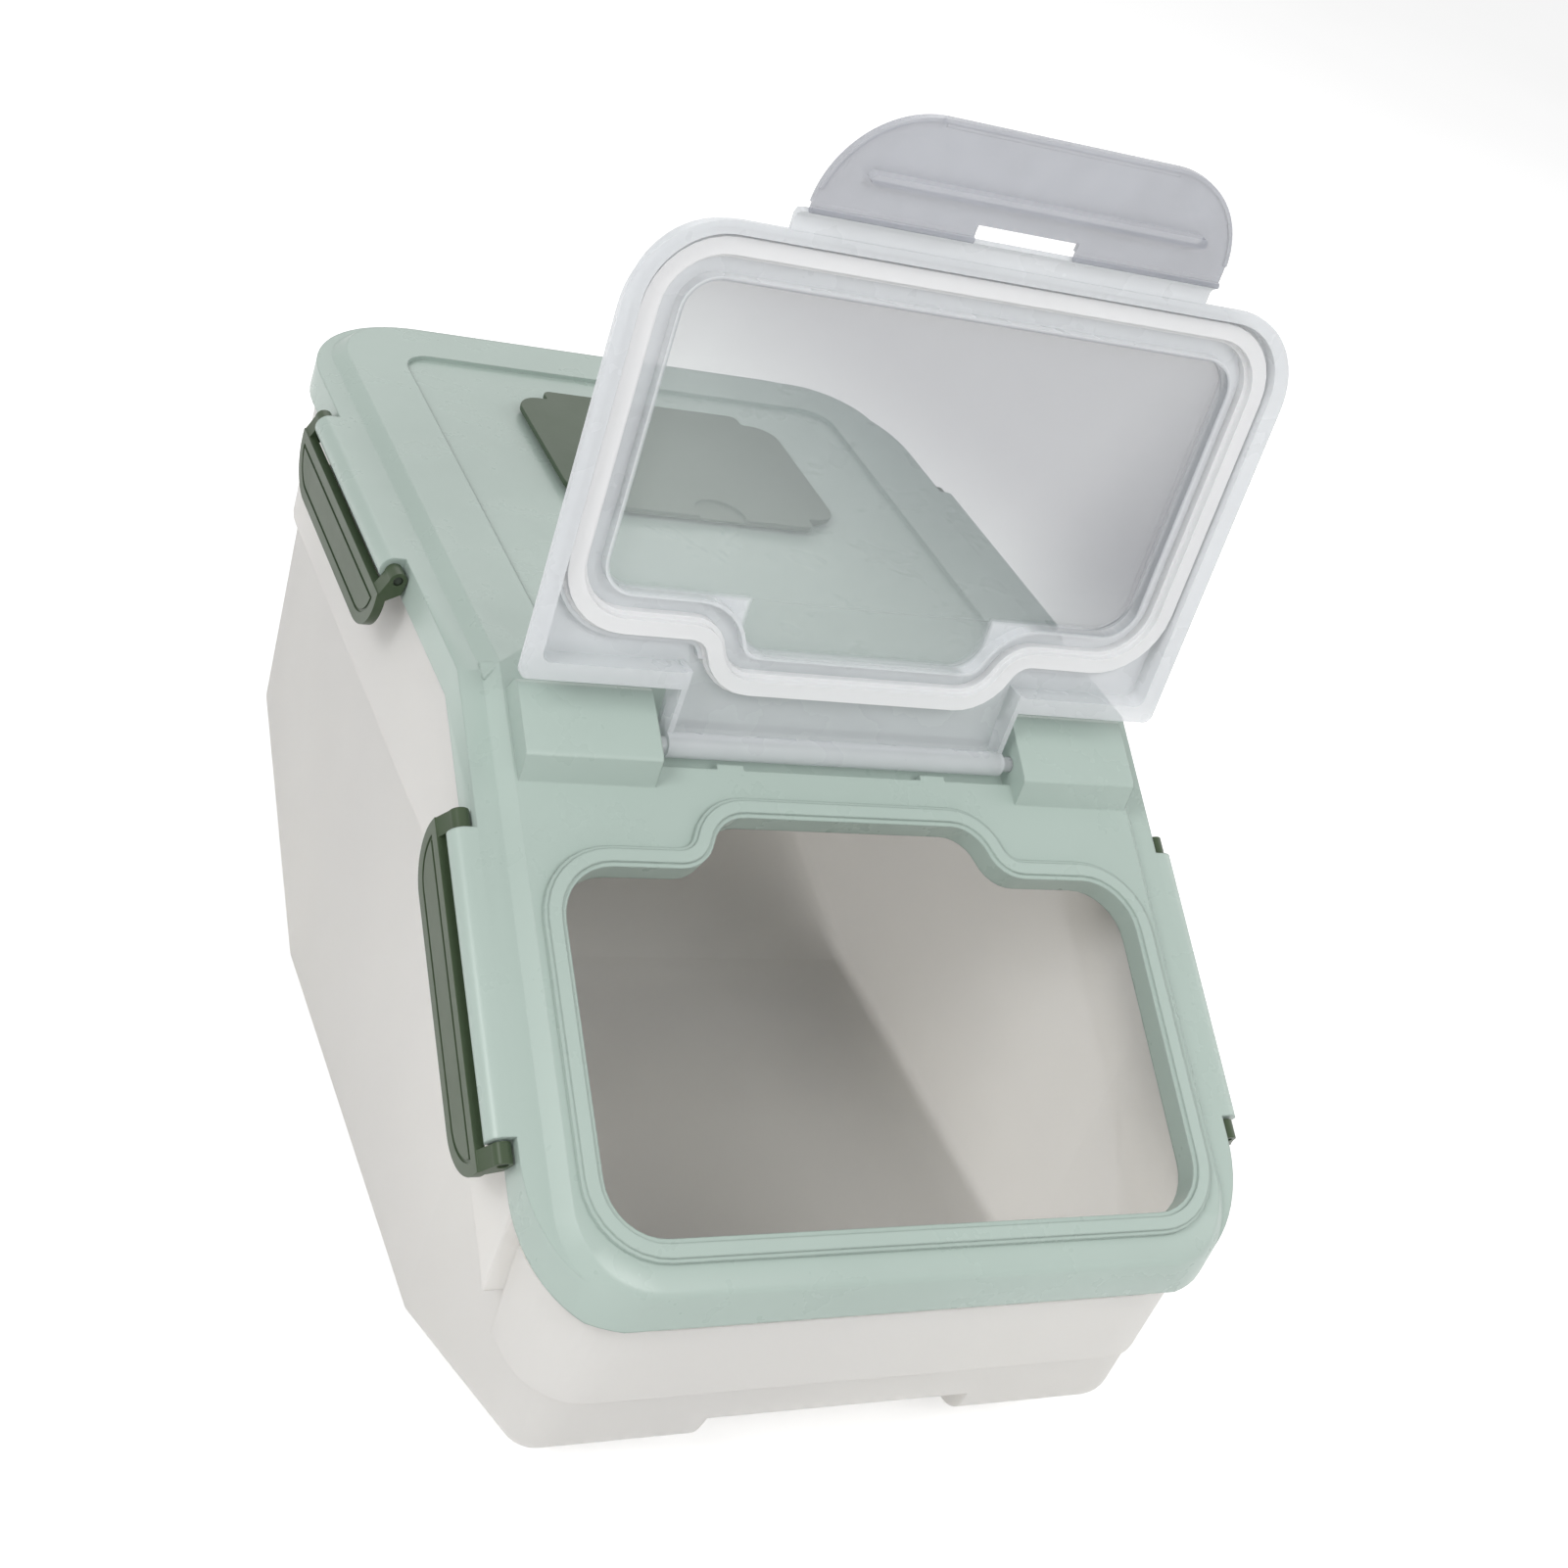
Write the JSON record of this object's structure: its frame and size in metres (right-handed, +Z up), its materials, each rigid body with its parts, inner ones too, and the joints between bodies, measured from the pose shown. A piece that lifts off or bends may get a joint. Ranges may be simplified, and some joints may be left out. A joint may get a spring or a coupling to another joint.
{
  "type": "rice storage bin",
  "caption": "Oblong storage bin with a sloped front deck, a clear flip lid with a latch flap, side clips and a desiccant box.",
  "frame": {"origin": "on the floor, under the middle of the skirt's length and width", "axes": "+Z up, +Y from the front with the flip lid to the back, +X to the right seen from the front"},
  "size_m": [0.248, 0.382, 0.3568],
  "materials": {
    "body": "fine satin",
    "cover": "satin",
    "clips": "satin",
    "lid": "frosted, see-through",
    "seal": "matt silicone"
  },
  "bodies": {
    "bin": {"bin_body": "body", "cover": "cover", "cover_seal": "seal"},
    "lid": {"lid": "lid", "lid_gasket": "seal"},
    "latch_flap": {"latch_flap": "lid"},
    "clip_front_left": {"clip_front_left": "clips"},
    "clip_front_right": {"clip_front_right": "clips"},
    "clip_rear_left": {"clip_rear_left": "clips"},
    "clip_rear_right": {"clip_rear_right": "clips"},
    "desiccant_box": {"desiccant_box": "clips"},
    "desiccant_cover": {"desiccant_cover": "clips"}
  },
  "joints": [
    {"name": "lid_hinge", "type": "hinge", "parent": "bin", "child": "lid", "pos_m": [0, -0.05253, 0.16599], "axis": [1, 0, 0], "range_deg": [0, 122.8]},
    {"name": "flap_hinge", "type": "hinge", "parent": "lid", "child": "latch_flap", "pos_m": [0, -0.04383, 0.3262], "axis": [1, 0, 0], "range_deg": [-30, 53.8]},
    {"name": "clip_front_left_hinge", "type": "hinge", "parent": "bin", "child": "clip_front_left", "pos_m": [-0.1186, -0.10926, 0.12473], "axis": [0, 0.8813, 0.4726], "range_deg": [0, 90]},
    {"name": "clip_front_right_hinge", "type": "hinge", "parent": "bin", "child": "clip_front_right", "pos_m": [0.1186, -0.10926, 0.12473], "axis": [0, -0.8813, -0.4726], "range_deg": [0, 90]},
    {"name": "clip_rear_left_hinge", "type": "hinge", "parent": "bin", "child": "clip_rear_left", "pos_m": [-0.1186, 0.0717, 0.1678], "axis": [0, 1, 0], "range_deg": [0, 90]},
    {"name": "clip_rear_right_hinge", "type": "hinge", "parent": "bin", "child": "clip_rear_right", "pos_m": [0.1186, 0.0717, 0.1678], "axis": [0, -1, 0], "range_deg": [0, 90]},
    {"name": "desiccant_box_lift", "type": "slide", "parent": "bin", "child": "desiccant_box", "axis": [0, 0, 1], "range_m": [0, 0.06]},
    {"name": "desiccant_cover_hinge", "type": "hinge", "parent": "desiccant_box", "child": "desiccant_cover", "pos_m": [0, 0.1425, 0.1761], "axis": [-1, 0, 0], "range_deg": [0, 75]}
  ]
}
